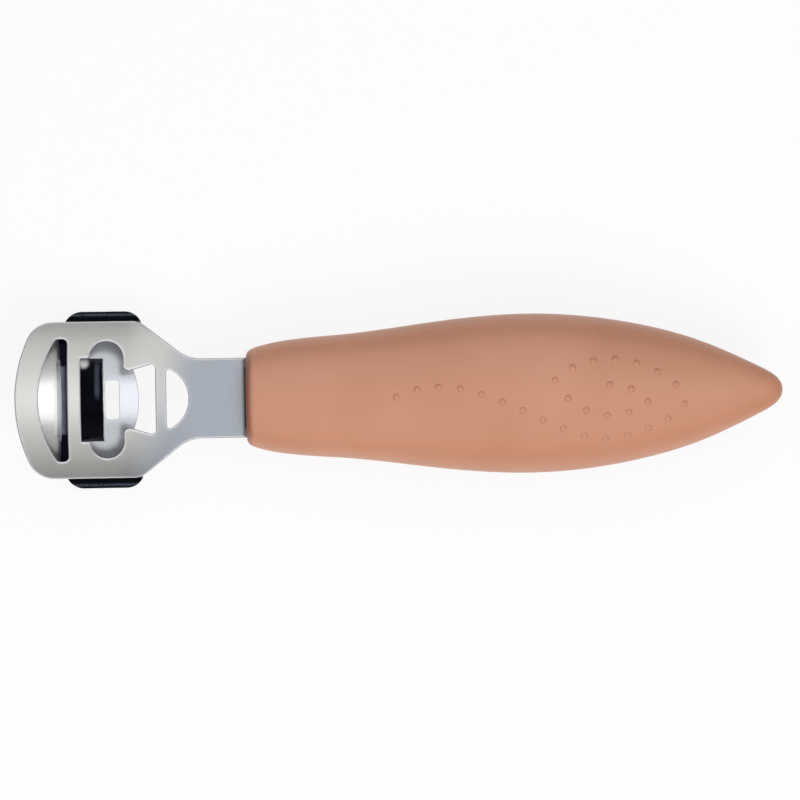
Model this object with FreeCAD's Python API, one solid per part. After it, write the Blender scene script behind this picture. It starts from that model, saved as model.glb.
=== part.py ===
"""Callus remover: a moulded handle with a stamped steel head that clamps a bent blade.

Millimetres. While modelling, X runs from the front edge of the head back to the tip of the handle, Y across
the tool, and Z up, out of the convex side that meets the skin. The flat neck lies in the plane Z = 0, and
the arched head rises from it towards the front. At the end all pieces are moved together, so that the
origin is under the middle of the tool at its lowest point.
"""
import FreeCAD
import Part

import math
import os

from FreeCAD import Placement, Rotation, Vector

# Handle
HANDLE_LENGTH = 119.0
HANDLE_FLATNESS = 0.6        # thickness as a share of the width
FACE_WIDTH = 17.6            # flat of the front end
FACE_ROUND = 2.2             # rounding between the front end and the sides
FACE_TURN = 70.0             # degrees that this rounding turns before the side takes over
WAIST_WIDTH = 27.4
WAIST_AT = 21.7              # from the front end
SWELL_WIDTH = 31.3
SWELL_AT = 37.8
BULGE_WIDTH = 35.3
BULGE_AT = 62.0              # the widest section
TAPER_SHARES = ((0.385, 0.885), (0.68, 0.63), (0.9, 0.31))  # behind the bulge: along it, and of its width
OUTLINE_PLAY = 0.05          # how far the moulding's straight bands may leave its outline
OVAL_ARCS = 12               # pieces of each oval section

# Grip domes
DOME_COUNT = 29
DOME_DIAMETER = 1.6
DOME_HEIGHT = 0.35
ROUTE_START = 33.4           # first dome, from the front end of the handle
ROUTE_BEND = 54.0            # where the row turns aside towards its loops

# Head plate
SHEET = 1.0
ARCH_RADIUS = 30.0           # of the middle of the sheet, across the head
HEAD_TILT = 11.5             # degrees, rise towards the front
HEAD_WIDTH = 34.8
FRONT_RADIUS = 35.0          # front edge in plan
CORNER_ROUND = 6.0
SHOULDER_AT = 27.3           # where the full width ends
SHOULDER_ROUND = 4.5
TAPER_LENGTH = 11.0
NECK_WIDTH = 17.7
NECK_LENGTH = 12.7
NECK_ROUND = 8.5
TANG_WIDTH = 14.0
TANG_LENGTH = 32.0
TANG_ROUND = 3.5
BEND_START = 25.5            # where the arch begins to flatten into the neck
BEND_END = 39.5

# Cut-outs of the head plate
SLOT_FRONT = 5.1
SLOT_REAR = 11.5
SLOT_LENGTH = 27.0
SLOT_FRONT_RADIUS = 25.0
SLOT_ROUND = 1.0
BAR_REAR = 14.4              # rear edge of the bar, at its relieved middle
RELIEF_WIDTH = 18.4
LOBE_AT = 20.1
LOBE_SPREAD = 18.4           # between the centres of the two lobes
LOBE_RADIUS = 3.7
LOBE_REAR = 23.8
THROAT_AT = 24.9
THROAT_WIDTH = 12.5
THROAT_MOUTH = 13.9          # width where it leaves the lobes
FLARE_REAR = 30.9
FLARE_WIDTH = 16.0
CUT_ROUND = 0.9
MOON_FRONT = 33.3
MOON_DEPTH = 4.9
MOON_LENGTH = 13.8
MOON_ROUND = 0.7

# Blade
BLADE_THICKNESS = 0.3
BLADE_WIDTH = 6.0
BLADE_LENGTH = 33.0          # across the head, as the crow flies
BEVEL = 1.1
EDGE_REACH = 1.2             # how far the edge stands out in front of the bar
NOTCH_MARGIN = 0.3

# Blade clamp
CLAMP_SHEET = 0.8
CLAMP_GAP = 2.2              # between the head plate and the clamp
CLAMP_INSET = 2.3            # of its front edge behind that of the head plate
LIP_LENGTH = 2.4
CLAMP_BODY_WIDTH = 30.0
WING_SPAN = 39.4
WING_FRONT = 10.5
WING_REAR = 27.9
WING_ROUND = 4.0
REAR_BOW_AT = 27.1           # rear end of the clamp in the middle, bowed between the wings
REAR_BOW_RADIUS = 20.0
REAR_BOW_WIDTH = 22.0
PAD_WIDTH = 18.0
PAD_WALL = 0.7               # run of the steep front wall
PAD_REAR = 19.3              # where the rear ramp meets the clamp
PAD_ROUND = 1.1              # of its drawn side edges
WINDOW_FRONT = 19.7
WINDOW_REAR = 22.8
WINDOW_WIDTH = 8.6
WINDOW_ROUND = 0.7

# Fits
TOUCH = 0.02                 # between pieces that press on each other
TANG_PLAY = 0.1              # round the tang, in its slot
TRIM = 2.0                   # what is cut off a formed blank, each way

HANDLE_AT = SHOULDER_AT + TAPER_LENGTH + NECK_LENGTH
REACH = 2 * WING_SPAN        # more than any cut has to pass through


def turn(degrees):
    """Rotation about the Y axis."""
    return Rotation(Vector(0, 1, 0), degrees)


def prism(edges):
    """A solid through the whole tool, upright on a closed outline of edges in the plane Z = 0."""
    face = Part.Face(Part.Wire(Part.__sortEdges__(edges)))
    face.translate(Vector(0, 0, -REACH))
    return face.extrude(Vector(0, 0, 2 * REACH))


def lines(points, close=True):
    """Straight edges from point to point in plan."""
    corners = [Vector(x, y, 0) for x, y in points]
    ends = corners[1:] + corners[:1] if close else corners[1:]
    return [Part.LineSegment(a, b).toShape() for a, b in zip(corners, ends)]


def arc(start, middle, end):
    """One circular edge through three points in plan."""
    return Part.Arc(*[Vector(x, y, 0) for x, y in (start, middle, end)]).toShape()


def rounded(solid, radius, wanted):
    """Round the upright edges whose place in plan passes the test wanted(x, y)."""
    upright = [
        edge for edge in solid.Edges
        if len(edge.Vertexes) == 2
        and abs(edge.Vertexes[0].Z - edge.Vertexes[1].Z) > REACH
        and wanted(edge.Vertexes[0].X, edge.Vertexes[0].Y)
    ]
    return solid.makeFillet(radius, upright)


def ease(share):
    """Smooth step from 0 to 1 with level ends."""
    return share * share * (3 - 2 * share)


def band_wire(radius, half_width):
    """Closed section of the sheet across the tool, in the plane X = 0; no radius means flat."""
    corners = []
    edges = []
    for side, offset in ((1, SHEET / 2), (-1, -SHEET / 2)):
        sag = 0.0
        if radius:
            sag = radius + offset - math.sqrt((radius + offset) ** 2 - half_width ** 2)
        start = Vector(0, -side * half_width, offset - sag)
        end = Vector(0, side * half_width, offset - sag)
        crown = Vector(0, 0, offset)
        edges.append(Part.Arc(start, crown, end) if radius else Part.LineSegment(start, end))
        corners.append((start, end))
    (top_start, top_end), (low_start, low_end) = corners
    edges.insert(1, Part.LineSegment(top_end, low_start))
    edges.append(Part.LineSegment(low_end, top_start))
    return Part.Wire([edge.toShape() for edge in edges])


def bend_stations(count=9):
    """Places of the sheet's crown along the bend, from the neck forward, each with its share of the bend."""
    step = (BEND_END - BEND_START) / (count - 1)
    place = Vector(BEND_END, 0, 0)
    stations = [(0.0, place)]
    for index in range(1, count):
        middle = math.radians(HEAD_TILT * ease((index - 0.5) / (count - 1)))
        place = place + Vector(-step, 0, step * math.tan(middle))
        stations.append((index / (count - 1), place))
    return stations


def head_placement():
    """Frame of the straight, arched head: origin on the crown of its front edge, X back along the crown."""
    foot = bend_stations()[-1][1]
    rise = foot.z + foot.x * math.tan(math.radians(HEAD_TILT))
    return Placement(Vector(0, 0, rise), turn(HEAD_TILT))


def bent_sheet():
    """The formed sheet before it is trimmed: tang and neck flat, bend, then the arched head."""
    half_width = HEAD_WIDTH / 2 + TRIM
    sections = []
    for share, place in bend_stations():
        curve = ease(share)
        wire = band_wire(ARCH_RADIUS / curve if curve else 0.0, half_width)
        wire.Placement = Placement(place, turn(HEAD_TILT * curve))
        sections.append(wire)
    bend = Part.makeLoft(sections, True, False)
    flat_length = HANDLE_AT + TANG_LENGTH - BEND_END
    flat = Part.Face(sections[0]).extrude(Vector(flat_length + TRIM, 0, 0))
    forward = turn(HEAD_TILT).multVec(Vector(-1, 0, 0))
    head = Part.Face(sections[-1]).extrude(forward * (BEND_START / math.cos(math.radians(HEAD_TILT)) + TRIM))
    return flat.fuse([bend, head])


def plate_outline():
    """Outline of the head plate, from the curved front edge to the end of the tang."""
    half, neck, tang = HEAD_WIDTH / 2, NECK_WIDTH / 2, TANG_WIDTH / 2
    corner = FRONT_RADIUS - math.sqrt(FRONT_RADIUS ** 2 - half ** 2)
    neck_start = SHOULDER_AT + TAPER_LENGTH
    side = [(corner, half), (SHOULDER_AT, half), (neck_start, neck), (HANDLE_AT, neck), (HANDLE_AT, tang),
            (HANDLE_AT + TANG_LENGTH, tang)]
    loop = side + [(x, -y) for x, y in reversed(side)]
    solid = prism(lines(loop, close=False) + [arc((corner, -half), (0, 0), (corner, half))])
    solid = rounded(solid, CORNER_ROUND, lambda x, y: x < corner + 0.1)
    solid = rounded(solid, SHOULDER_ROUND, lambda x, y: abs(x - SHOULDER_AT) < 0.1)
    solid = rounded(solid, NECK_ROUND, lambda x, y: abs(x - neck_start) < 0.1)
    return rounded(solid, TANG_ROUND, lambda x, y: x > HANDLE_AT + TANG_LENGTH / 2)


def front_slot():
    """Slot where the blade meets the skin: a curved front side and a straight rear side."""
    half = SLOT_LENGTH / 2
    sag = SLOT_FRONT_RADIUS - math.sqrt(SLOT_FRONT_RADIUS ** 2 - half ** 2)
    start = SLOT_FRONT + sag
    edges = lines([(start, half), (SLOT_REAR, half), (SLOT_REAR, -half), (start, -half)], close=False)
    solid = prism(edges + [arc((start, -half), (SLOT_FRONT, 0), (start, half))])
    return rounded(solid, SLOT_ROUND, lambda x, y: True)


def middle_opening():
    """Opening behind the bar: a relieved middle, two round lobes and a flared tail."""
    relief, mouth = RELIEF_WIDTH / 2, THROAT_MOUTH / 2
    throat, flare = THROAT_WIDTH / 2, FLARE_WIDTH / 2
    box = prism(lines([(BAR_REAR, relief), (LOBE_REAR, relief), (LOBE_REAR, -relief), (BAR_REAR, -relief)]))
    side = [(LOBE_AT, mouth), (LOBE_REAR, mouth), (THROAT_AT, throat), (FLARE_REAR, flare)]
    tail = prism(lines(side + [(x, -y) for x, y in reversed(side)]))
    tail = rounded(tail, CUT_ROUND, lambda x, y: x > LOBE_REAR + 0.1)
    lobes = []
    for side in (1, -1):
        centre = Vector(LOBE_AT, side * LOBE_SPREAD / 2, -REACH)
        lobes.append(Part.makeCylinder(LOBE_RADIUS, 2 * REACH, centre))
    return box.fuse([tail] + lobes)


def half_moon():
    """Weight-saving half-moon hole at the root of the neck."""
    half = MOON_LENGTH / 2
    edges = lines([(MOON_FRONT, half), (MOON_FRONT, -half)], close=False)
    solid = prism(edges + [arc((MOON_FRONT, -half), (MOON_FRONT + MOON_DEPTH, 0), (MOON_FRONT, half))])
    return rounded(solid, MOON_ROUND, lambda x, y: True)


def make_head_plate():
    """The stamped head, neck and tang."""
    return bent_sheet().common(plate_outline()).cut([front_slot(), middle_opening(), half_moon()])


def revolved(profile, half_angle):
    """Turn a closed profile of (along, height) points about the arch's axis, evenly to both sides.

    Heights are measured from the middle of the head plate's sheet, along the head's normal.
    """
    corners = [Vector(along, 0, height) for along, height in profile]
    face = Part.Face(Part.makePolygon(corners + corners[:1]))
    axis = Vector(0, 0, -ARCH_RADIUS)
    face.rotate(axis, Vector(1, 0, 0), -half_angle)
    solid = face.revolve(axis, Vector(1, 0, 0), 2 * half_angle)
    solid.Placement = head_placement().multiply(solid.Placement)
    return solid


def along_head(x, height):
    """Distance along the head to the point that is at x in plan, at a height off the sheet's middle."""
    tilt = math.radians(HEAD_TILT)
    return (x - height * math.sin(tilt)) / math.cos(tilt)


def half_angle(width, height):
    """Half the angle that a width across the head takes up at a height off the sheet's middle."""
    return math.degrees(math.asin(width / 2 / (ARCH_RADIUS + height)))


BLADE_TOP = -SHEET / 2 - TOUCH
BLADE_BOTTOM = BLADE_TOP - BLADE_THICKNESS
PAD_TOP = BLADE_BOTTOM - TOUCH
CLAMP_TOP = -SHEET / 2 - CLAMP_GAP
CLAMP_BOTTOM = CLAMP_TOP - CLAMP_SHEET
PAD_ROOT = 4 * CLAMP_SHEET   # how far the pad's block runs below the clamp before it is hollowed


def make_blade():
    """The strip blade, bent to the arch, its edge forward and its back notched clear of the bar's relief."""
    edge = along_head(SLOT_REAR - EDGE_REACH, BLADE_TOP)
    back = edge + BLADE_WIDTH
    tip = (BLADE_TOP + BLADE_BOTTOM) / 2
    profile = [(edge, tip), (edge + BEVEL, BLADE_TOP), (back, BLADE_TOP), (back, BLADE_BOTTOM),
               (edge + BEVEL, BLADE_BOTTOM)]
    strip = revolved(profile, half_angle(BLADE_LENGTH, BLADE_TOP))
    front, side = BAR_REAR - NOTCH_MARGIN, RELIEF_WIDTH / 2 + NOTCH_MARGIN
    behind = front + BLADE_WIDTH
    notch = prism(lines([(front, side), (behind, side), (behind, -side), (front, -side)]))
    return strip.cut(rounded(notch, CUT_ROUND, lambda x, y: x < front + 0.1))


def clamp_outline():
    """Outline of the clamp: a rounded front part, and a wider rear part whose ends are the wings."""
    body, wing = CLAMP_BODY_WIDTH / 2, WING_SPAN / 2
    middle = (WING_FRONT + WING_REAR) / 2
    front = prism(lines([(CLAMP_INSET, body), (middle, body), (middle, -body), (CLAMP_INSET, -body)]))
    nose = Part.makeCylinder(FRONT_RADIUS - CLAMP_INSET, 2 * REACH, Vector(FRONT_RADIUS, 0, -REACH))
    wings = prism(lines([(WING_FRONT, wing), (WING_REAR, wing), (WING_REAR, -wing), (WING_FRONT, -wing)]))
    wings = rounded(wings, WING_ROUND, lambda x, y: True)
    return front.common(nose).fuse(wings).cut(rear_relief())


def rear_relief():
    """What is cut away behind the clamp's bowed rear end, between the wings."""
    half = REAR_BOW_WIDTH / 2
    behind = WING_REAR + TRIM
    start = REAR_BOW_AT - REAR_BOW_RADIUS + math.sqrt(REAR_BOW_RADIUS ** 2 - half ** 2)
    edges = lines([(start, half), (behind, half), (behind, -half), (start, -half)], close=False)
    solid = prism(edges + [arc((start, -half), (REAR_BOW_AT, 0), (start, half))])
    return rounded(solid, CUT_ROUND, lambda x, y: x < start + 0.1)


def pad_profile(inset):
    """Profile of the raised pad, open far below the clamp, moved inwards by the inset."""
    foot = along_head(PAD_REAR, CLAMP_TOP)
    top_front = along_head(SLOT_REAR - EDGE_REACH, PAD_TOP)
    top_rear = along_head(BAR_REAR - NOTCH_MARGIN, PAD_TOP)
    rise = PAD_TOP - CLAMP_TOP
    corners = [(top_front - PAD_WALL * (rise + PAD_ROOT) / rise, CLAMP_TOP - PAD_ROOT), (top_front, PAD_TOP),
               (top_rear, PAD_TOP), (foot + (foot - top_rear) * PAD_ROOT / rise, CLAMP_TOP - PAD_ROOT)]
    if not inset:
        return corners
    wire = Part.makePolygon([Vector(x, 0, z) for x, z in corners + corners[:1]])
    return [(point.X, point.Z) for point in wire.makeOffset2D(-inset, 2).OrderedVertexes]


def drawn_pad():
    """Block of the raised pad, with the edges of its two ends rounded."""
    block = revolved(pad_profile(0), half_angle(PAD_WIDTH, CLAMP_TOP))
    rims = []
    for face in block.Faces:
        if isinstance(face.Surface, Part.Plane):
            foot = min(face.Edges, key=lambda edge: edge.CenterOfMass.z)
            rims += [edge for edge in face.Edges if not edge.isSame(foot)]
    return block.makeFillet(PAD_ROUND, rims)


def make_blade_clamp():
    """The sprung clamp: lip at the front, arched body with wings, pad under the blade, and window."""
    front = along_head(CLAMP_INSET, CLAMP_TOP)
    rear = along_head(WING_REAR, CLAMP_TOP) + TRIM
    lip_top = -SHEET / 2 - TOUCH
    wide = half_angle(WING_SPAN + 2 * TRIM, CLAMP_TOP)
    fold = front + LIP_LENGTH
    sheet = revolved([(front, lip_top), (fold, CLAMP_TOP), (rear, CLAMP_TOP), (rear, CLAMP_BOTTOM),
                      (fold - CLAMP_SHEET / 2, CLAMP_BOTTOM), (front, lip_top - 1.5 * CLAMP_SHEET)], wide)
    below = [(front - TRIM, CLAMP_BOTTOM), (rear, CLAMP_BOTTOM), (rear, CLAMP_BOTTOM - PAD_ROOT),
             (front - TRIM, CLAMP_BOTTOM - PAD_ROOT)]
    pad = drawn_pad().cut(revolved(below, wide))
    cavity = revolved(pad_profile(CLAMP_SHEET), half_angle(PAD_WIDTH - 2 * CLAMP_SHEET, CLAMP_TOP))
    half = WINDOW_WIDTH / 2
    corners = [(WINDOW_FRONT, half), (WINDOW_REAR, half), (WINDOW_REAR, -half), (WINDOW_FRONT, -half)]
    window = prism(lines(corners))
    window = rounded(window, WINDOW_ROUND, lambda x, y: True)
    return sheet.common(clamp_outline()).fuse(pad).cut([cavity, window])


def handle_stations():
    """(along, half width) pairs of the handle, from its flat front end to its tip."""
    face, bulge = FACE_WIDTH / 2, BULGE_WIDTH / 2
    aft = HANDLE_LENGTH - BULGE_AT
    end = math.radians(FACE_TURN)
    turn_middle, turn_end = [
        Vector(FACE_ROUND * (1 - math.cos(angle)), face + FACE_ROUND * math.sin(angle), 0)
        for angle in (end / 2, end)
    ]
    points = [turn_end, Vector(WAIST_AT, WAIST_WIDTH / 2, 0), Vector(SWELL_AT, SWELL_WIDTH / 2, 0),
              Vector(BULGE_AT, bulge, 0)]
    points += [Vector(BULGE_AT + along * aft, share * bulge, 0) for along, share in TAPER_SHARES]
    side = Part.BSplineCurve()
    side.interpolate(
        Points=points + [Vector(HANDLE_LENGTH, 0, 0)],
        InitialTangent=Vector(math.sin(end), math.cos(end), 0), FinalTangent=Vector(0, -1, 0))
    front = Part.Arc(Vector(0, face, 0), turn_middle, turn_end).toShape()
    chain = front.discretize(QuasiDeflection=OUTLINE_PLAY)
    chain += side.toShape().discretize(QuasiDeflection=OUTLINE_PLAY)[1:]
    return [(point.x, point.y) for point in chain]


def oval(along, half_width):
    """Oval section of the handle, wider than it is thick, in arcs that meet those of its neighbours."""
    ellipse = Part.Ellipse(Vector(0, 0, 0), half_width, half_width * HANDLE_FLATNESS)
    step = 2 * math.pi / OVAL_ARCS
    wire = Part.Wire([Part.Arc(ellipse, at * step, (at + 1) * step).toShape() for at in range(OVAL_ARCS)])
    upright = Rotation(Vector(0, 1, 0), Vector(0, 0, 1), Vector(1, 0, 0))
    wire.Placement = Placement(Vector(along, 0, 0), upright)
    return wire


def top_at(stations, along, across):
    """Height of the handle's top above its middle plane."""
    for (start, first), (end, last) in zip(stations, stations[1:]):
        if start <= along <= end:
            half_width = first + (last - first) * (along - start) / (end - start)
    return HANDLE_FLATNESS * math.sqrt(half_width ** 2 - across ** 2)


def dome_route():
    """Route of the grip domes in plan: down the middle, then one and a half turns round the bulge."""
    aft, bulge = HANDLE_LENGTH - BULGE_AT, BULGE_WIDTH / 2
    loops = [
        (0.09, -0.36), (0.27, -0.545), (0.47, -0.43), (0.61, -0.115), (0.48, 0.26), (0.305, 0.38),
        (0.18, 0.295), (0.11, 0.145), (0.17, -0.095), (0.315, -0.28), (0.46, -0.145), (0.32, 0.08),
    ]
    points = [Vector(ROUTE_START, -0.023 * bulge, 0), Vector(ROUTE_BEND, -0.04 * bulge, 0)]
    points += [Vector(BULGE_AT + along * aft, across * bulge, 0) for along, across in loops]
    route = Part.BSplineCurve()
    route.interpolate(points)
    return route.toShape()


def make_handle():
    """The moulding: ovals along its outline joined by bands, the slot for the tang, and the grip domes."""
    stations = handle_stations()
    sections = [oval(along, half_width) for along, half_width in stations[:-1]]
    body = Part.makeLoft(sections + [Part.Vertex(stations[-1][0], 0, 0)], True, True)
    radius = (DOME_DIAMETER ** 2 / 4 + DOME_HEIGHT ** 2) / (2 * DOME_HEIGHT)
    domes = []
    for place in dome_route().discretize(Number=DOME_COUNT):
        height = top_at(stations, place.x, place.y) + DOME_HEIGHT - radius
        domes.append(Part.makeSphere(radius, Vector(place.x, place.y, height)))
    slot = Part.makeBox(
        TANG_LENGTH + TANG_PLAY, TANG_WIDTH + 2 * TANG_PLAY, SHEET + 2 * TANG_PLAY,
        Vector(0, -TANG_WIDTH / 2 - TANG_PLAY, -SHEET / 2 - TANG_PLAY))
    handle = body.fuse(domes).cut(slot)
    handle.translate(Vector(HANDLE_AT, 0, 0))
    return handle


os.makedirs("parts", exist_ok=True)
pieces = {
    "handle": make_handle(),
    "head_plate": make_head_plate(),
    "blade_clamp": make_blade_clamp(),
    "blade": make_blade(),
}
whole = Part.makeCompound(list(pieces.values())).optimalBoundingBox(False, False)
for name, shape in pieces.items():
    shape.translate(Vector(-whole.Center.x, -whole.Center.y, -whole.ZMin))
    shape.exportStep(f"parts/{name}.step")
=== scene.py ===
"""Looks of a callus remover: a moulded handle and a plated steel head that clamps a bent blade.

Metres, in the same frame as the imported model: X along the handle towards its tip, Y across the tool, Z up,
with the origin under the middle of the tool on the surface that it lies on.
"""

import logging
import math
from dataclasses import dataclass
from enum import Enum
from typing import Any, Mapping, Optional, Sequence, Union

import bmesh
import bpy
from mathutils import Euler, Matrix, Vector

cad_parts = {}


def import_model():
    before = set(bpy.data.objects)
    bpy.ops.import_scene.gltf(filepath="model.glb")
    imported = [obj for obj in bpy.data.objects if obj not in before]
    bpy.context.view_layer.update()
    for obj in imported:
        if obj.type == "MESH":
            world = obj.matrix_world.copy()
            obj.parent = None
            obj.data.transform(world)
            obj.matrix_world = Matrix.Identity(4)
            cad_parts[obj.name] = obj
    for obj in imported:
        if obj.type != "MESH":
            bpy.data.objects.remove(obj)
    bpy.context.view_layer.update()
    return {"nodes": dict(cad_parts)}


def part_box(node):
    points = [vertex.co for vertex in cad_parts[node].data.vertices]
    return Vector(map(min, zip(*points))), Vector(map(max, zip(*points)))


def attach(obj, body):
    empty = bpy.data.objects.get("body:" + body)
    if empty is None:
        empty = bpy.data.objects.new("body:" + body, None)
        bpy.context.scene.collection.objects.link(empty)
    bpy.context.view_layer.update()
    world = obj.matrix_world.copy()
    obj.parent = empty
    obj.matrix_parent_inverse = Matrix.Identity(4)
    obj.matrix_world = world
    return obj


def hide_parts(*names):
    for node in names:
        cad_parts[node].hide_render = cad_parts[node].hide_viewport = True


LOG = logging.getLogger("callus_remover")
MM = 0.001
BODY = "root"
Colour = tuple[float, float, float]
Stops = Sequence[tuple[float, float]]
RISE: Stops = ((0.0, 0.0), (1.0, 1.0))
FALL: Stops = ((0.0, 1.0), (1.0, 0.0))


class Piece(Enum):
    """The pieces of the tool, by the names of their nodes."""

    HANDLE = "handle"
    HEAD_PLATE = "head_plate"
    BLADE_CLAMP = "blade_clamp"
    BLADE = "blade"


class Signal:
    """A shader socket that can be used in arithmetic; every operation adds its Math node."""

    def __init__(self, surface: "Surface", socket: bpy.types.NodeSocket) -> None:
        """Wrap a socket.

        Args:
            surface: the material that the socket belongs to.
            socket: an output socket of one of its nodes.
        """
        self.surface = surface
        self.socket = socket

    def _math(self, operation: str, left: "Operand", right: "Operand") -> "Signal":
        """Add one Math node.

        Args:
            operation: the node's operation, in capitals.
            left: its first value.
            right: its second value.

        Returns:
            The result.
        """
        return self.surface.node("ShaderNodeMath", {"operation": operation}, {0: left, 1: right})

    def __add__(self, other: "Operand") -> "Signal":
        """Sum."""
        return self._math("ADD", self, other)

    def __radd__(self, other: "Operand") -> "Signal":
        """Sum, from the right."""
        return self._math("ADD", other, self)

    def __sub__(self, other: "Operand") -> "Signal":
        """Difference."""
        return self._math("SUBTRACT", self, other)

    def __rsub__(self, other: "Operand") -> "Signal":
        """Difference, from the right."""
        return self._math("SUBTRACT", other, self)

    def __mul__(self, other: "Operand") -> "Signal":
        """Product."""
        return self._math("MULTIPLY", self, other)

    def __rmul__(self, other: "Operand") -> "Signal":
        """Product, from the right."""
        return self._math("MULTIPLY", other, self)

    def __truediv__(self, other: "Operand") -> "Signal":
        """Quotient."""
        return self._math("DIVIDE", self, other)

    def __rtruediv__(self, other: "Operand") -> "Signal":
        """Quotient, from the right."""
        return self._math("DIVIDE", other, self)


Operand = Union[Signal, float, Colour, Vector]


class Surface:
    """One material and the nodes that make it."""

    def __init__(self, name: str) -> None:
        """Start a material with nothing but its output.

        Args:
            name: the material's name.
        """
        self.material = bpy.data.materials.new(name)
        self.material.use_nodes = True
        self.tree = self.material.node_tree
        self.tree.nodes.clear()
        self.output = self.tree.nodes.new("ShaderNodeOutputMaterial")

    def node(
        self,
        kind: str,
        settings: Optional[Mapping[str, Any]] = None,
        values: Optional[Mapping[Union[int, str], Operand]] = None,
        output: Union[int, str] = 0,
    ) -> Signal:
        """Add a node.

        Args:
            kind: the node's type.
            settings: its properties, set first; "stops" holds a ramp's (position, colour) pairs.
            values: numbers, colours or signals for its input sockets, by name or index.
            output: the output socket to hand back.

        Returns:
            The chosen output.
        """
        made = self.tree.nodes.new(kind)
        for key, value in (settings or {}).items():
            if key == "stops":
                self._fill_ramp(made.color_ramp, value)
            else:
                setattr(made, key, value)
        for key, value in (values or {}).items():
            socket = made.inputs[key]
            if isinstance(value, Signal):
                self.tree.links.new(value.socket, socket)
            elif isinstance(value, tuple) and len(socket.default_value) == 4:
                socket.default_value = (*value, 1.0)
            else:
                socket.default_value = value
        return Signal(self, made.outputs[output])

    @staticmethod
    def _fill_ramp(ramp: bpy.types.ColorRamp, stops: Sequence[tuple[float, Colour]]) -> None:
        """Set a ramp's stops.

        Args:
            ramp: the ramp of a new node.
            stops: positions in rising order, with their colours.
        """
        while len(ramp.elements) < len(stops):
            ramp.elements.new(1.0)
        for element, (position, colour) in zip(ramp.elements, stops):
            element.position = position
            element.color = (*colour, 1.0)

    def place(self) -> Signal:
        """Position on the piece, in metres."""
        return self.node("ShaderNodeTexCoord", output="Object")

    def axis(self, name: str) -> Signal:
        """One coordinate of the position on the piece: X, Y or Z."""
        return self.node("ShaderNodeSeparateXYZ", {}, {0: self.place()}, name)

    def math(self, operation: str, *values: Operand) -> Signal:
        """Any other sum that a Math node can do."""
        return self.node("ShaderNodeMath", {"operation": operation}, dict(enumerate(values)))

    def vector(
        self, operation: str, values: Mapping[Union[int, str], Operand], output: str = "Vector"
    ) -> Signal:
        """Add a Vector Math node.

        Args:
            operation: the node's operation, in capitals.
            values: what its input sockets get, by name or index.
            output: the output socket to hand back.

        Returns:
            The chosen output.
        """
        return self.node("ShaderNodeVectorMath", {"operation": operation}, values, output)

    def below(self, value: Signal, high: float, soft: float = 0.25 * MM) -> Signal:
        """1 where a value lies below a bound, fading over a width `soft` in metres."""
        return self.ramp((value - high) / soft + 0.5, FALL)

    def between(self, value: Signal, low: float, high: float, soft: float = 0.25 * MM) -> Signal:
        """1 where a value lies between two bounds, with soft ends.

        Args:
            value: the value.
            low: lower bound.
            high: upper bound.
            soft: width over which the ends fade.

        Returns:
            The mask.
        """
        return self.ramp((value - low) / soft + 0.5, RISE) * self.below(value, high, soft)

    def rim(self, rounded: Signal, full: float, clear: float) -> Signal:
        """1 on the rounded edges of the piece and 0 on its faces.

        Args:
            rounded: the normal that rounds the edges.
            full: how like the face's own normal it is where the mask is 1.
            clear: how like where the mask is 0.

        Returns:
            The mask.
        """
        face = self.node("ShaderNodeNewGeometry", output="True Normal")
        likeness = self.vector("DOT_PRODUCT", {0: face, 1: rounded}, "Value")
        return self.ramp(likeness, [(full, 1.0), (clear, 0.0)])

    def stretched(self, scale: Colour) -> Signal:
        """Position on the piece, scaled along each axis."""
        return self.vector("MULTIPLY", {0: self.place(), 1: Vector(scale)})

    def noise(self, vector: Signal, scale: float, detail: float = 2.0) -> Signal:
        """Smooth noise from 0 to 1.

        Args:
            vector: the position to read it at.
            scale: waves per unit of the position.
            detail: octaves of finer noise.

        Returns:
            The noise.
        """
        values = {"Vector": vector, "Scale": scale, "Detail": detail}
        return self.node("ShaderNodeTexNoise", {}, values, "Fac")

    def ramp(self, factor: Signal, stops: Stops) -> Signal:
        """A grey value that follows stops, joined smoothly.

        Args:
            factor: where to read the ramp.
            stops: (position, grey) pairs.

        Returns:
            The value.
        """
        greys = [(at, (grey, grey, grey)) for at, grey in stops]
        return self.node("ShaderNodeValToRGB", {"stops": greys}, {"Fac": factor})

    def mixed(self, factor: Operand, low: Operand, high: Operand) -> Signal:
        """Mix two colours.

        Args:
            factor: share of the second colour.
            low: the first colour.
            high: the second colour.

        Returns:
            The colour.
        """
        return self.node("ShaderNodeMix", {"data_type": "RGBA"}, {0: factor, 6: low, 7: high}, 2)

    def scaled(self, colour: Signal, factor: Signal) -> Signal:
        """A colour times a number."""
        return self.vector("SCALE", {0: colour, "Scale": factor})

    def soft_edges(self, radius: float) -> Signal:
        """Normal that rounds the edges of the piece by a radius in metres."""
        return self.node("ShaderNodeBevel", {"samples": 8}, {"Radius": radius})

    def bump(self, height: Signal, depth: float, normal: Optional[Signal] = None) -> Signal:
        """Normal of a surface with relief.

        Args:
            height: the relief, from 0 to 1.
            depth: what 1 stands for, in metres.
            normal: the normal to start from, or None for the mesh's own.

        Returns:
            The normal.
        """
        values: dict[Union[int, str], Operand] = {"Strength": 1.0, "Distance": depth, "Height": height}
        if normal is not None:
            values["Normal"] = normal
        return self.node("ShaderNodeBump", {}, values)

    def finish(self, shader: Signal) -> bpy.types.Material:
        """Connect the shader to the output and hand back the material."""
        self.tree.links.new(shader.socket, self.output.inputs["Surface"])
        return self.material


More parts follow.
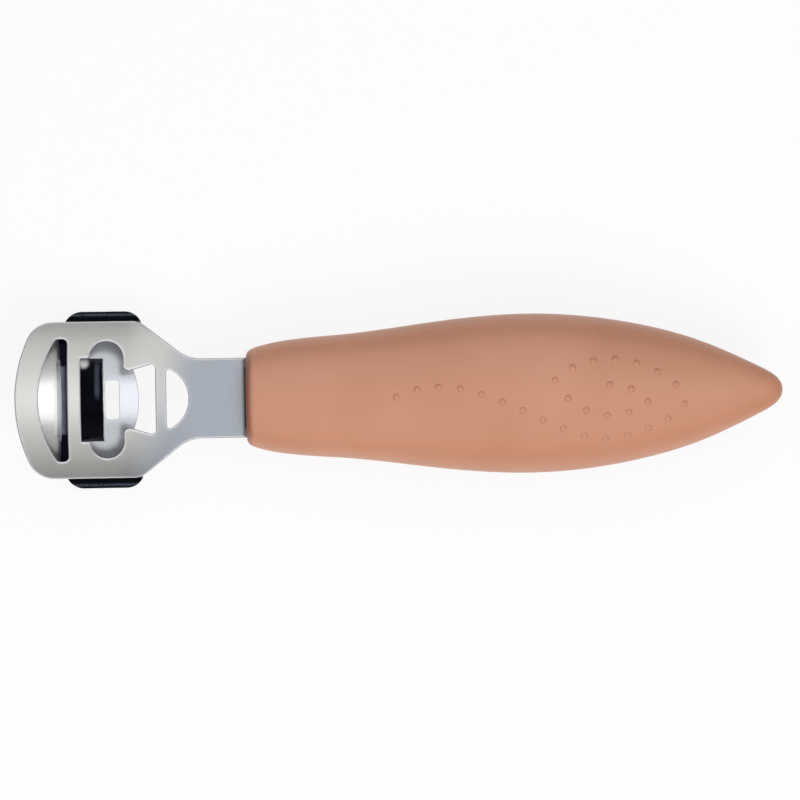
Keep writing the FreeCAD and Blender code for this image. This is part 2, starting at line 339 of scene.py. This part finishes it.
@dataclass(frozen=True)
class SatinPlastic:
    """Moulded plastic with a fine, even grain and a soft gloss; its front end is darkened by painted shade,
    and is near black with painted shadow where the neck enters.
    """

    colour: Colour = (0.66, 0.300, 0.184)
    shade: Colour = (0.61, 0.268, 0.156)
    # front_shade is painted shade on the handle's front end, where it turns away from the light.
    front_shade: Colour = (0.24, 0.078, 0.042)
    # painted_shadow is the near-black painted shadow where the neck enters the handle.
    painted_shadow: Colour = (0.03, 0.010, 0.007)
    front: float = -34.0 * MM
    front_shade_reach: float = 1.7 * MM
    front_shade_fade: Stops = ((0.0, 1.0), (0.4, 0.8), (1.0, 0.0))
    front_shade_half: float = 9.8 * MM
    front_shade_soft: float = 2.5 * MM
    neck_middle: float = 10.857 * MM
    shadow_half: float = 1.1 * MM
    shadow_soft: float = 0.8 * MM
    roughness: float = 0.40
    cloud_matt: float = 0.08
    grain_matt: float = 0.06
    gloss: float = 0.85
    grain_per_metre: float = 5200.0
    grain_depth: float = 0.012 * MM
    cloud_per_metre: float = 38.0
    cloud_fade: Stops = ((0.35, 0.0), (0.7, 1.0))
    ior: float = 1.49

    def material(self, name: str) -> bpy.types.Material:
        """Build the material.

        Args:
            name: its name.

        Returns:
            The material.
        """
        surface = Surface(name)
        cloud = surface.noise(surface.place(), self.cloud_per_metre, 3.0)
        grain = surface.noise(surface.place(), self.grain_per_metre, 1.0)
        colour = surface.mixed(surface.ramp(cloud, self.cloud_fade), self.colour, self.shade)
        # Painted shade: the front end darkens towards front_shade over front_shade_reach, within
        # front_shade_half of the middle.
        near = surface.ramp((surface.axis("X") - self.front) / self.front_shade_reach, self.front_shade_fade)
        corner = near * surface.between(surface.axis("Y"), -self.front_shade_half, self.front_shade_half, self.front_shade_soft)
        # Painted shadow: near black on the front end at the neck's level, where the neck enters.
        level = surface.axis("Z") - self.neck_middle
        crevice_shadow = corner * surface.between(level, -self.shadow_half, self.shadow_half, self.shadow_soft)
        colour = surface.mixed(crevice_shadow, surface.mixed(corner, colour, self.front_shade), self.painted_shadow)
        values = {
            "Base Color": colour,
            "Roughness": self.roughness + (cloud - 0.5) * self.cloud_matt + (grain - 0.5) * self.grain_matt,
            "IOR": self.ior,
            "Specular IOR Level": self.gloss,
            "Normal": surface.bump(grain, self.grain_depth),
        }
        return surface.finish(surface.node("ShaderNodeBsdfPrincipled", {}, values))


@dataclass(frozen=True)
class PlatedSheet:
    """Satin plated sheet with painted light: warm on the arched head, with a cooler, greyer painted
    reflection on the flat neck, painted highlights on the rims, a painted dark line at their outer edge, and
    a painted shadow where the neck enters the handle.
    """

    # The neck's darker, cooler tone is painted reflection of the flat neck.
    head: Colour = (0.77, 0.765, 0.745)
    neck: Colour = (0.51, 0.54, 0.60)
    # rim is a painted highlight on the rounded edges, outline a painted dark line at their outermost edge.
    rim: Colour = (0.96, 0.965, 0.98)
    outline: Colour = (0.06, 0.06, 0.12)
    neck_from: float = -57.0 * MM
    neck_full: float = -47.5 * MM
    neck_slant: float = 0.4
    neck_wander: float = 6.0 * MM
    # handle_face and the shadow_* values darken the neck just in front of the handle: painted shadow.
    handle_face: float = -34.0 * MM
    shadow_reach: float = 1.1 * MM
    shadow_fade: Stops = ((0.1, 0.0), (0.8, 1.0))
    shadow_share: float = 0.93
    cloud_tone: float = 0.10
    grain_tone: float = 0.05
    roughness: float = 0.42
    cloud_matt: float = 0.06
    grain_matt: float = 0.10
    rim_roughness: float = 0.2
    edge: float = 0.9 * MM
    rim_paint: float = 0.85
    rim_likeness: tuple[float, float] = (0.93, 0.995)
    outline_likeness: tuple[float, float] = (0.75, 0.87)
    cloud_per_metre: float = 60.0
    grain: Colour = (260.0, 5200.0, 2600.0)
    grain_depth: float = 0.0012 * MM

    def material(self, name: str) -> bpy.types.Material:
        """Build the material.

        Args:
            name: its name.

        Returns:
            The material.
        """
        surface = Surface(name)
        grain = surface.noise(surface.stretched(self.grain), 1.0, 3.0)
        cloud = surface.noise(surface.place(), self.cloud_per_metre, 2.0)
        along = surface.axis("X")
        # Painted reflection: the flat neck takes the darker, cooler neck tone past a slanted, wandering
        # boundary.
        slanted = along - surface.axis("Y") * self.neck_slant + (cloud - 0.5) * self.neck_wander
        share = (slanted - self.neck_from) / (self.neck_full - self.neck_from)
        tone = surface.mixed(surface.ramp(share, RISE), self.head, self.neck)
        fade = (cloud - 0.5) * self.cloud_tone + (grain - 0.5) * self.grain_tone + 1.0
        # Painted shadow: the neck darkens just in front of the handle's face.
        painted_shadow = surface.ramp((along - self.handle_face) / self.shadow_reach + 1.0, self.shadow_fade)
        # Painted highlight on the rounded rims, made mostly non-metallic, with a painted dark line at the
        # outermost edge.
        rounded = surface.soft_edges(self.edge)
        rim = surface.rim(rounded, *self.rim_likeness)
        outline = surface.rim(rounded, *self.outline_likeness)
        tone = surface.mixed(rim, surface.scaled(tone, fade * (1.0 - painted_shadow * self.shadow_share)), self.rim)
        satin = self.roughness + (grain - 0.5) * self.grain_matt + (cloud - 0.5) * self.cloud_matt
        values = {
            "Base Color": surface.mixed(outline, tone, self.outline),
            "Metallic": 1.0 - rim * self.rim_paint,
            "Roughness": satin * (1.0 - rim) + rim * self.rim_roughness,
            "Normal": surface.bump(grain, self.grain_depth, rounded),
        }
        return surface.finish(surface.node("ShaderNodeBsdfPrincipled", {}, values))


@dataclass(frozen=True)
class PolishedSpring:
    """Polished spring steel with painted light: painted shade on its rear part and towards its ends, painted
    dark reflections on the wings and the pad's ramp, and painted highlights.
    """

    colour: Colour = (0.88, 0.885, 0.89)
    shade: Colour = (0.82, 0.83, 0.85)
    # rear and dark are painted shade: rear on the part behind the slot, dark towards the ends.
    rear: Colour = (0.66, 0.68, 0.73)
    dark: Colour = (0.14, 0.14, 0.145)
    # black is painted dark reflection on the wings and the pad's ramp, streak a painted reflection streak on
    # the ramp.
    black: Colour = (0.012, 0.013, 0.02)
    streak: Colour = (0.16, 0.19, 0.25)
    # glint is a painted highlight on the pad's corner.
    glint: Colour = (0.80, 0.82, 0.82)
    slot_end: float = -74.6 * MM
    slot_soft: float = 1.0 * MM
    half_width: float = 20.0 * MM
    end_fade: Stops = ((0.20, 0.0), (0.36, 0.42), (0.52, 0.62), (0.64, 0.70))
    end_rear: float = 0.1
    end_paint: float = 0.6
    rear_share: float = 0.7
    # wall marks a band just in front of slot_end that is made partly non-metallic so it reads pale: painted
    # highlight.
    wall: tuple[float, float] = (-76.6 * MM, -74.8 * MM)
    wall_half: float = 7.6 * MM
    wall_paint: float = 0.6
    line_soft: float = 0.3 * MM
    # The wing_* and pad* values place the painted dark reflections, the wings' painted highlight line and
    # the ramp's painted streak.
    wing_from: float = 17.2 * MM
    wing_soft: float = 0.4 * MM
    wing_highlight_at: tuple[float, float] = (18.7 * MM, 19.15 * MM)
    pad: tuple[float, float] = (-71.0 * MM, -65.7 * MM)
    pad_half: float = 9.2 * MM
    pad_wander: float = 0.5 * MM
    streak_at: tuple[float, float] = (-67.5 * MM, -66.55 * MM)
    streak_side: tuple[float, float] = (0.8 * MM, 7.8 * MM)
    streak_soft: tuple[float, float] = (0.5 * MM, 2.0 * MM)
    glint_at: Vector = Vector((-69.9 * MM, 8.1 * MM, 0.0))
    glint_size: float = 1.5 * MM
    glint_fade: Stops = ((0.45, 1.0), (1.0, 0.0))
    glint_paint: float = 0.9
    roughness: float = 0.25
    fine_matt: float = 0.05
    edge: float = 0.25 * MM
    wave_depth: float = 0.02 * MM
    waves_per_metre: float = 120.0
    fine_per_metre: float = 1500.0
    scratches: Colour = (5200.0, 420.0, 900.0)
    scratch_fade: Stops = ((0.35, 0.0), (0.6, 1.0))

    def material(self, name: str) -> bpy.types.Material:
        """Build the material.

        Args:
            name: its name.

        Returns:
            The material.
        """
        surface = Surface(name)
        wave = surface.noise(surface.place(), self.waves_per_metre, 2.0)
        fine = surface.noise(surface.place(), self.fine_per_metre, 3.0)
        along, aside = surface.axis("X"), surface.math("ABSOLUTE", surface.axis("Y"))
        # Painted shade: the part behind the slot takes the rear tone, and the steel darkens towards the
        # ends, where it is made partly non-metallic to read an even grey.
        forward = surface.below(along, self.slot_end, self.slot_soft)
        ends = surface.ramp(aside / self.half_width, self.end_fade)
        tone = surface.mixed(wave, self.colour, self.shade)
        shaded_rear = surface.mixed(fine * (1.0 - self.rear_share) + self.rear_share, tone, self.rear)
        tone = surface.mixed(forward, shaded_rear, tone)
        tone = surface.mixed(ends * (forward * (1.0 - self.end_rear) + self.end_rear), tone, self.dark)
        wall = surface.between(along, *self.wall, self.line_soft) * surface.below(aside, self.wall_half)
        end_diffuse_share = ends * self.end_paint * surface.below(aside, self.wing_from)
        # Painted highlight: the glint is painted pale on the pad's corner; it and the wall band are made
        # partly non-metallic so they read pale.
        glint = self._glint(surface)
        pale = surface.math("MAXIMUM", wall * self.wall_paint, glint * self.glint_paint)
        values = {
            "Base Color": surface.mixed(glint, self._painted_dark_reflections(surface, tone, along, aside), self.glint),
            "Metallic": 1.0 - surface.math("MAXIMUM", pale, end_diffuse_share),
            "Roughness": self.roughness + (fine - 0.5) * self.fine_matt,
            "Normal": surface.bump(wave, self.wave_depth, surface.soft_edges(self.edge)),
        }
        return surface.finish(surface.node("ShaderNodeBsdfPrincipled", {}, values))

    def _glint(self, surface: Surface) -> Signal:
        """1 on the pad's corner, where a highlight is painted, and 0 elsewhere.

        Args:
            surface: the material being made.

        Returns:
            The mask.
        """
        flat = surface.stretched((1.0, 1.0, 0.0))
        away = surface.vector("DISTANCE", {0: flat, 1: self.glint_at}, "Value")
        return surface.ramp(away / self.glint_size, self.glint_fade)

    def _painted_dark_reflections(self, surface: Surface, tone: Signal, along: Signal, aside: Signal) -> Signal:
        """Paint dark reflections on the wings and the pad's ramp, with a painted highlight line near the
        wings' outer edge and a painted reflection streak on the ramp.

        Args:
            surface: the material being made.
            tone: the colour of the bright steel.
            along: position along the tool.
            aside: distance from the tool's middle.

        Returns:
            The colour.
        """
        # Painted reflections: the wings and the pad's ramp are painted near black, with a painted highlight
        # line along the wings and a painted streak on the ramp.
        scratch = surface.noise(surface.stretched(self.scratches), 1.0, 2.0)
        wings = surface.ramp((aside - self.wing_from) / self.wing_soft, RISE)
        line = surface.between(aside, *self.wing_highlight_at, self.line_soft)
        line = line * surface.ramp(scratch, self.scratch_fade)
        ragged = along + (scratch - 0.5) * self.pad_wander
        ramp = surface.between(ragged, *self.pad, self.line_soft) * surface.below(aside, self.pad_half)
        side = surface.between(surface.axis("Y"), *self.streak_side, self.streak_soft[1])
        painted_streak = side * surface.between(ragged, *self.streak_at, self.streak_soft[0])
        dark = surface.mixed(painted_streak + line * wings, self.black, self.streak)
        return surface.mixed(surface.math("MAXIMUM", wings, ramp), tone, dark)


@dataclass(frozen=True)
class GroundBlade:
    """Hardened steel painted black for its dark reflection, with a painted blue-grey reflection along its
    middle and a painted highlight along its ground edge.
    """

    # black, grey and blue are painted reflections; bright is a painted highlight near the ground edge.
    black: Colour = (0.006, 0.006, 0.012)
    grey: Colour = (0.17, 0.19, 0.235)
    blue: Colour = (0.03, 0.03, 0.075)
    bright: Colour = (0.62, 0.66, 0.72)
    middle_half: float = 7.5 * MM
    middle_soft: float = 0.5 * MM
    middle_paint: float = 0.6
    edge_at: float = -75.75 * MM
    bar_at: float = -73.6 * MM
    edge_wander: float = 0.5 * MM
    bright_fade: Stops = ((0.16, 1.0), (0.30, 0.0))
    blue_fade: Stops = ((0.55, 0.0), (0.9, 1.0))
    stain: float = 0.7
    roughness: float = 0.22
    grinding_matt: float = 0.15
    grinding: Colour = (3500.0, 500.0, 900.0)
    grinding_depth: float = 0.001 * MM

    def material(self, name: str) -> bpy.types.Material:
        """Build the material.

        Args:
            name: its name.

        Returns:
            The material.
        """
        surface = Surface(name)
        lines = surface.noise(surface.stretched(self.grinding), 1.0, 3.0)
        aside = surface.math("ABSOLUTE", surface.axis("Y"))
        ragged = surface.axis("X") + (lines - 0.5) * self.edge_wander
        across = (ragged - self.edge_at) / (self.bar_at - self.edge_at)
        # Painted light: the blade is black but for its middle, which carries a painted blue-grey reflection
        # and a painted highlight near the edge, and is made partly non-metallic to read paler.
        middle = surface.below(aside, self.middle_half, self.middle_soft)
        body = surface.mixed(surface.ramp(across, self.blue_fade), self.grey, self.blue)
        body = surface.mixed(surface.ramp(across, self.bright_fade), body, self.bright)
        stained = surface.mixed(lines * self.stain, body, self.black)
        values = {
            "Base Color": surface.mixed(middle, self.black, stained),
            "Metallic": 1.0 - middle * self.middle_paint,
            "Roughness": self.roughness + (lines - 0.5) * self.grinding_matt,
            "Normal": surface.bump(lines, self.grinding_depth),
        }
        return surface.finish(surface.node("ShaderNodeBsdfPrincipled", {}, values))


Finish = Union[SatinPlastic, PlatedSheet, PolishedSpring, GroundBlade]


def dress(node: bpy.types.Object, finish: Finish) -> None:
    """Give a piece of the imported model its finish.

    Args:
        node: the piece's object.
        finish: what it is finished with.
    """
    material = finish.material(f"{node.name}_finish")
    for slot in node.material_slots:
        slot.material = material
    LOG.info("dressed %s with %s", node.name, type(finish).__name__)


@dataclass
class Handle:
    """The moulded handle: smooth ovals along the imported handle's outline, and its grip domes."""

    finish: SatinPlastic = SatinPlastic()
    flatness: float = 0.6
    around: int = 144
    spacing: float = 0.9 * MM
    tang_width: float = 14.2 * MM
    tang_height: float = 1.2 * MM
    tang_end: float = -1.8 * MM
    beside_tang: float = 1.0 * MM
    under_middle: float = 0.05 * MM
    same_section: float = 0.002 * MM
    straight: float = 0.003 * MM
    dome_radius: float = 0.8 * MM
    dome_height: float = 0.35 * MM
    dome_seen: float = 0.3
    dome_sunk: float = 2.2
    dome_sides: int = 28
    dome_rings: int = 7
    sharp_from: float = 40.0

    def build(self, nodes: Mapping[str, bpy.types.Object]) -> bpy.types.Object:
        """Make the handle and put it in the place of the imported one.

        Args:
            nodes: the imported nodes.

        Returns:
            The handle's object.
        """
        node = nodes[Piece.HANDLE.value]
        low, high = (Vector(corner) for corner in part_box(Piece.HANDLE.value))
        points = [vertex.co.copy() for vertex in node.data.vertices]
        middle = low.z + self.flatness * (high.y - low.y) / 2
        stations = self._stations(points, middle)
        form = bmesh.new()
        self._moulding(form, self._smooth(stations), middle)
        for centre in self._dome_centres(points, stations, middle):
            self._dome(form, centre)
        mesh = bpy.data.meshes.new("handle_moulding")
        form.to_mesh(mesh)
        form.free()
        mesh.shade_smooth()
        mesh.set_sharp_from_angle(angle=math.radians(self.sharp_from))
        mesh.materials.append(self.finish.material("handle_finish"))
        piece = bpy.data.objects.new("handle_moulding", mesh)
        bpy.context.scene.collection.objects.link(piece)
        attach(piece, BODY)
        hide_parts(Piece.HANDLE.value)
        LOG.info("made %s with %d faces", piece.name, len(mesh.polygons))
        return piece

    def _stations(self, points: Sequence[Vector], middle: float) -> list[tuple[float, float]]:
        """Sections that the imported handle's bands run between, read below its middle plane.

        Args:
            points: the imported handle's vertices.
            middle: height of its middle plane.

        Returns:
            (along, half width) pairs in rising order.
        """
        found: list[tuple[float, float]] = []
        for point in sorted(points, key=lambda place: place.x):
            clear = self.beside_tang if point.x < self.tang_end + self.beside_tang else self.under_middle
            if point.z < middle - clear:
                half = math.hypot(point.y, (point.z - middle) / self.flatness)
                if found and point.x - found[-1][0] < self.same_section:
                    found[-1] = (found[-1][0], max(half, found[-1][1]))
                else:
                    found.append((point.x, half))
        kept = [found[0]]
        for here, after in zip(found[1:], found[2:]):
            before = kept[-1]
            share = (here[0] - before[0]) / (after[0] - before[0])
            if abs(here[1] - before[1] - share * (after[1] - before[1])) > self.straight:
                kept.append(here)
        tip = max(points, key=lambda place: place.x)
        return kept + [found[-1], (tip.x, 0.0)]

    def _smooth(self, stations: Sequence[tuple[float, float]]) -> list[tuple[float, float]]:
        """Fill in a smooth outline between stations.

        Args:
            stations: (along, half width) pairs.

        Returns:
            Closely spaced (along, half width) pairs.
        """
        (front, face), (near, last) = stations[0], stations[-2]
        ahead, behind = Vector((front, face - 1.0 * MM)), Vector((near, -last))
        chain = [ahead, *(Vector(pair) for pair in stations), behind]
        outline = []
        for p0, p1, p2, p3 in zip(chain, chain[1:], chain[2:], chain[3:]):
            d01, d12, d23 = (max((b - a).length, 1e-7) for a, b in ((p0, p1), (p1, p2), (p2, p3)))
            m1 = (p2 - p1) + d12 * ((p1 - p0) / d01 - (p2 - p0) / (d01 + d12))
            m2 = (p2 - p1) + d12 * ((p3 - p2) / d23 - (p3 - p1) / (d12 + d23))
            count = max(2, math.ceil(d12 / self.spacing))
            for step in range(count):
                t = step / count
                place = ((1 + 2 * t) * (1 - t) ** 2 * p1 + t * (1 - t) ** 2 * m1
                         + t * t * (3 - 2 * t) * p2 + t * t * (t - 1) * m2)
                outline.append((place.x, max(place.y, 0.0)))
        return outline + [tuple(stations[-1])]

    def _moulding(
        self, form: bmesh.types.BMesh, outline: Sequence[tuple[float, float]], middle: float
    ) -> None:
        """Add the body: ovals along the outline, a flat front end round the tang, and a rounded tip.

        Args:
            form: the mesh being made.
            outline: (along, half width) pairs.
            middle: height of the middle plane.
        """
        turns = [2 * math.pi * side / self.around for side in range(self.around)]
        rings = []
        for along, half in outline[:-1]:
            tall = self.flatness * half
            rings.append([
                form.verts.new((along, half * math.cos(turn), middle + tall * math.sin(turn)))
                for turn in turns
            ])
        tip = form.verts.new((outline[-1][0], 0.0, middle))
        for ring, after in zip(rings, rings[1:]):
            self._band(form, ring, after)
        for side in range(self.around):
            form.faces.new((rings[-1][side], rings[-1][(side + 1) % self.around], tip))
        front, (half_y, half_z) = outline[0][0], (self.tang_width / 2, self.tang_height / 2)
        mouth = []
        for turn in turns:
            across, up = math.cos(turn), math.sin(turn)
            reach = min(half_y / max(abs(across), 1e-9), half_z / max(abs(up), 1e-9))
            mouth.append(form.verts.new((front, reach * across, middle + reach * up)))
        self._band(form, mouth, rings[0])

    @staticmethod
    def _band(
        form: bmesh.types.BMesh, ring: Sequence[bmesh.types.BMVert], after: Sequence[bmesh.types.BMVert]
    ) -> None:
        """Join two rings of as many vertices with faces.

        Args:
            form: the mesh being made.
            ring: the ring in front.
            after: the ring behind it.
        """
        for side in range(len(ring)):
            other = (side + 1) % len(ring)
            form.faces.new((ring[side], ring[other], after[other], after[side]))

    def _dome_centres(
        self, points: Sequence[Vector], stations: Sequence[tuple[float, float]], middle: float
    ) -> list[Vector]:
        """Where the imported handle's domes meet its surface, found from what stands out of the ovals.

        Args:
            points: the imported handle's vertices.
            stations: (along, half width) pairs of its bands.
            middle: height of its middle plane.

        Returns:
            A point on the surface under the middle of each dome.
        """
        groups: list[list[Vector]] = []
        for point in points:
            rise = point.z - self._surface(stations, middle, point.x, point.y)
            if point.z > middle and rise > self.dome_seen * self.dome_height:
                for group in groups:
                    if (group[0] - point).length < 2 * self.dome_radius:
                        group.append(point)
                        break
                else:
                    groups.append([point])
        centres = []
        for group in groups:
            along = (min(point.x for point in group) + max(point.x for point in group)) / 2
            across = (min(point.y for point in group) + max(point.y for point in group)) / 2
            centres.append(Vector((along, across, self._surface(stations, middle, along, across))))
        LOG.info("found %d domes", len(centres))
        return centres

    def _surface(
        self, stations: Sequence[tuple[float, float]], middle: float, along: float, across: float
    ) -> float:
        """Height of the moulding's top at a place.

        Args:
            stations: (along, half width) pairs of its bands.
            middle: height of its middle plane.
            along: the place along the tool.
            across: the place across the tool.

        Returns:
            The height, or one that no vertex reaches where the place lies beside the moulding.
        """
        for (start, first), (end, last) in zip(stations, stations[1:]):
            if start <= along <= end:
                half = first + (last - first) * (along - start) / (end - start)
                if half > abs(across):
                    return middle + self.flatness * math.sqrt(half * half - across * across)
        return 1.0

    def _dome(self, form: bmesh.types.BMesh, centre: Vector) -> None:
        """Add one grip dome, a cap of a ball with its rim just under the surface.

        Args:
            form: the mesh being made.
            centre: where the dome stands on the moulding.
        """
        ball = (self.dome_radius ** 2 + self.dome_height ** 2) / (2 * self.dome_height)
        reach = math.acos(1 - self.dome_sunk * self.dome_height / ball)
        heart = centre + Vector((0.0, 0.0, self.dome_height - ball))
        top = form.verts.new(heart + Vector((0.0, 0.0, ball)))
        rings = []
        for ring in range(1, self.dome_rings + 1):
            lean = reach * ring / self.dome_rings
            flat, up = ball * math.sin(lean), ball * math.cos(lean)
            rings.append([
                form.verts.new(heart + Vector((flat * math.cos(turn), flat * math.sin(turn), up)))
                for turn in (2 * math.pi * side / self.dome_sides for side in range(self.dome_sides))
            ])
        for side in range(self.dome_sides):
            other = (side + 1) % self.dome_sides
            form.faces.new((top, rings[0][side], rings[0][other]))
            for ring, after in zip(rings, rings[1:]):
                form.faces.new((ring[side], after[side], after[other], ring[other]))


@dataclass
class Head:
    """The steel head: plate, sprung clamp and blade."""

    plate: PlatedSheet = PlatedSheet()
    clamp: PolishedSpring = PolishedSpring()
    blade: GroundBlade = GroundBlade()

    def build(self, nodes: Mapping[str, bpy.types.Object]) -> None:
        """Dress the three steel pieces.

        Args:
            nodes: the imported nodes.
        """
        dress(nodes[Piece.HEAD_PLATE.value], self.plate)
        dress(nodes[Piece.BLADE_CLAMP.value], self.clamp)
        dress(nodes[Piece.BLADE.value], self.blade)


@dataclass
class Studio:
    """White floor that keeps the tool's shadow, white sky seen through a tent, softbox and fill lamp."""

    floor_size: float = 6.0
    floor_drop: float = 0.05 * MM
    floor_colour: Colour = (0.97, 0.97, 0.97)
    floor_glow: float = 0.86
    tent_radius: float = 2.4
    tent_rise: float = 88.0
    tent_rings: int = 24
    tent_sides: int = 64
    clear_by_height: Stops = (
        (0.0, 0.0), (0.24, 0.02), (0.45, 0.60), (0.65, 0.86), (0.92, 0.86), (1.0, 0.70)
    )
    clear_across: Stops = ((0.1, 0.72), (0.5, 0.92), (0.85, 1.0))
    card_behind: Stops = ((0.50, 0.0), (0.72, 1.0))
    card_by_height: Stops = ((0.50, 1.0), (0.70, 0.0))
    card_share: float = 0.95
    softbox_lean: float = 23.0
    softbox_size: float = 1.0
    softbox_far: float = 1.5
    softbox_power: float = 1.5
    fill_size: float = 0.8
    fill_place: Vector = Vector((0.35, -1.0, 1.05))
    fill_power: float = 8.5

    def build(self) -> None:
        """Set up floor, tent, lamps and sky."""
        self._floor()
        self._tent()
        lean = math.radians(self.softbox_lean)
        self._lamp("softbox", Vector((math.sin(lean), 0.0, math.cos(lean))) * self.softbox_far,
                   self.softbox_size, self.softbox_power)
        fill = self._lamp("fill", self.fill_place, self.fill_size, self.fill_power)
        fill.visible_glossy = False
        self._sky()

    def _floor(self) -> None:
        """A plain pale plane just under the tool."""
        half = self.floor_size / 2
        mesh = bpy.data.meshes.new("floor")
        corners = [(-half, -half), (half, -half), (half, half), (-half, half)]
        mesh.from_pydata([(x, y, -self.floor_drop) for x, y in corners], [], [(0, 1, 2, 3)])
        floor = bpy.data.objects.new("floor", mesh)
        bpy.context.scene.collection.objects.link(floor)
        surface = Surface("floor_paper")
        paper = surface.node("ShaderNodeBsdfDiffuse", {}, {"Color": self.floor_colour})
        white = surface.node("ShaderNodeEmission", {}, {"Color": (1.0, 1.0, 1.0), "Strength": 1.0})
        seen = surface.node("ShaderNodeLightPath", output="Is Camera Ray")
        for ray in ("Is Glossy Ray", "Is Transmission Ray"):
            seen = surface.math("MAXIMUM", seen, surface.node("ShaderNodeLightPath", output=ray))
        shader = surface.node("ShaderNodeMixShader", {}, {0: seen * self.floor_glow, 1: paper, 2: white})
        mesh.materials.append(surface.finish(shader))

    def _tent(self) -> None:
        """A dome whose cloth is dark at the horizon and behind the handle; the camera looks through it."""
        rings, sides = self.tent_rings, self.tent_sides
        points = []
        for ring in range(rings + 1):
            rise = math.radians(self.tent_rise * ring / rings)
            flat, up = self.tent_radius * math.cos(rise), self.tent_radius * math.sin(rise)
            for side in range(sides):
                around = 2 * math.pi * side / sides
                points.append((flat * math.cos(around), flat * math.sin(around), up))
        faces = []
        for ring in range(rings):
            for side in range(sides):
                after = (side + 1) % sides
                faces.append((ring * sides + side, ring * sides + after,
                              (ring + 1) * sides + after, (ring + 1) * sides + side))
        mesh = bpy.data.meshes.new("tent")
        mesh.from_pydata(points, [], faces)
        tent = bpy.data.objects.new("tent", mesh)
        bpy.context.scene.collection.objects.link(tent)
        surface = Surface("tent_cloth")
        behind, across, height = (surface.axis(name) / self.tent_radius for name in "XYZ")
        clear = surface.ramp(height, self.clear_by_height)
        clear = clear * surface.ramp(across * 0.5 + 0.5, self.clear_across)
        card = surface.ramp(behind, self.card_behind) * surface.ramp(height, self.card_by_height)
        cloth = surface.node("ShaderNodeBsdfDiffuse", {}, {"Color": (0.0, 0.0, 0.0)})
        open_air = surface.node("ShaderNodeBsdfTransparent")
        shown = clear * (1.0 - card * self.card_share)
        shader = surface.node("ShaderNodeMixShader", {}, {0: shown, 1: cloth, 2: open_air})
        mesh.materials.append(surface.finish(shader))
        tent.visible_camera = False

    @staticmethod
    def _lamp(name: str, place: Vector, size: float, power: float) -> bpy.types.Object:
        """Hang a round lamp that looks at the tool.

        Args:
            name: the lamp's name.
            place: where it hangs.
            size: its diameter.
            power: in watts.

        Returns:
            The lamp's object.
        """
        light = bpy.data.lights.new(name, "AREA")
        light.shape = "DISK"
        light.size = size
        light.energy = power
        lamp = bpy.data.objects.new(name, light)
        lamp.location = place
        lamp.rotation_euler = (-place).to_track_quat("-Z", "Y").to_euler()
        bpy.context.scene.collection.objects.link(lamp)
        return lamp

    @staticmethod
    def _sky() -> None:
        """An even white sky."""
        world = bpy.data.worlds.new("sky")
        world.use_nodes = True
        background = world.node_tree.nodes["Background"]
        background.inputs["Color"].default_value = (1.0, 1.0, 1.0, 1.0)
        background.inputs["Strength"].default_value = 1.0
        bpy.context.scene.world = world


@dataclass
class PhotoCamera:
    """A camera straight above the tool, with a long lens."""

    lens: float = 300.0
    sensor: float = 36.0
    frame_width: float = 177.3 * MM
    centre: Vector = Vector((0.1 * MM, -1.08 * MM, 12.0 * MM))
    roll: float = -0.914

    def build(self) -> None:
        """Place the camera and make it the scene's own."""
        data = bpy.data.cameras.new("photo_camera")
        data.lens = self.lens
        data.sensor_width = self.sensor
        data.clip_end = 20.0
        camera = bpy.data.objects.new("photo_camera", data)
        distance = self.frame_width * self.lens / self.sensor
        camera.location = self.centre + Vector((0.0, 0.0, distance))
        camera.rotation_euler = Euler((0.0, 0.0, math.radians(self.roll)))
        bpy.context.scene.collection.objects.link(camera)
        bpy.context.scene.camera = camera


def main() -> None:
    """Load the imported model, dress it, and set up the studio and the camera."""
    logging.basicConfig(level=logging.INFO, format="%(message)s")
    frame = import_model()
    bpy.context.scene.view_settings.view_transform = "Standard"
    Handle().build(frame["nodes"])
    Head().build(frame["nodes"])
    Studio().build()
    PhotoCamera().build()


if __name__ == "__main__":
    main()
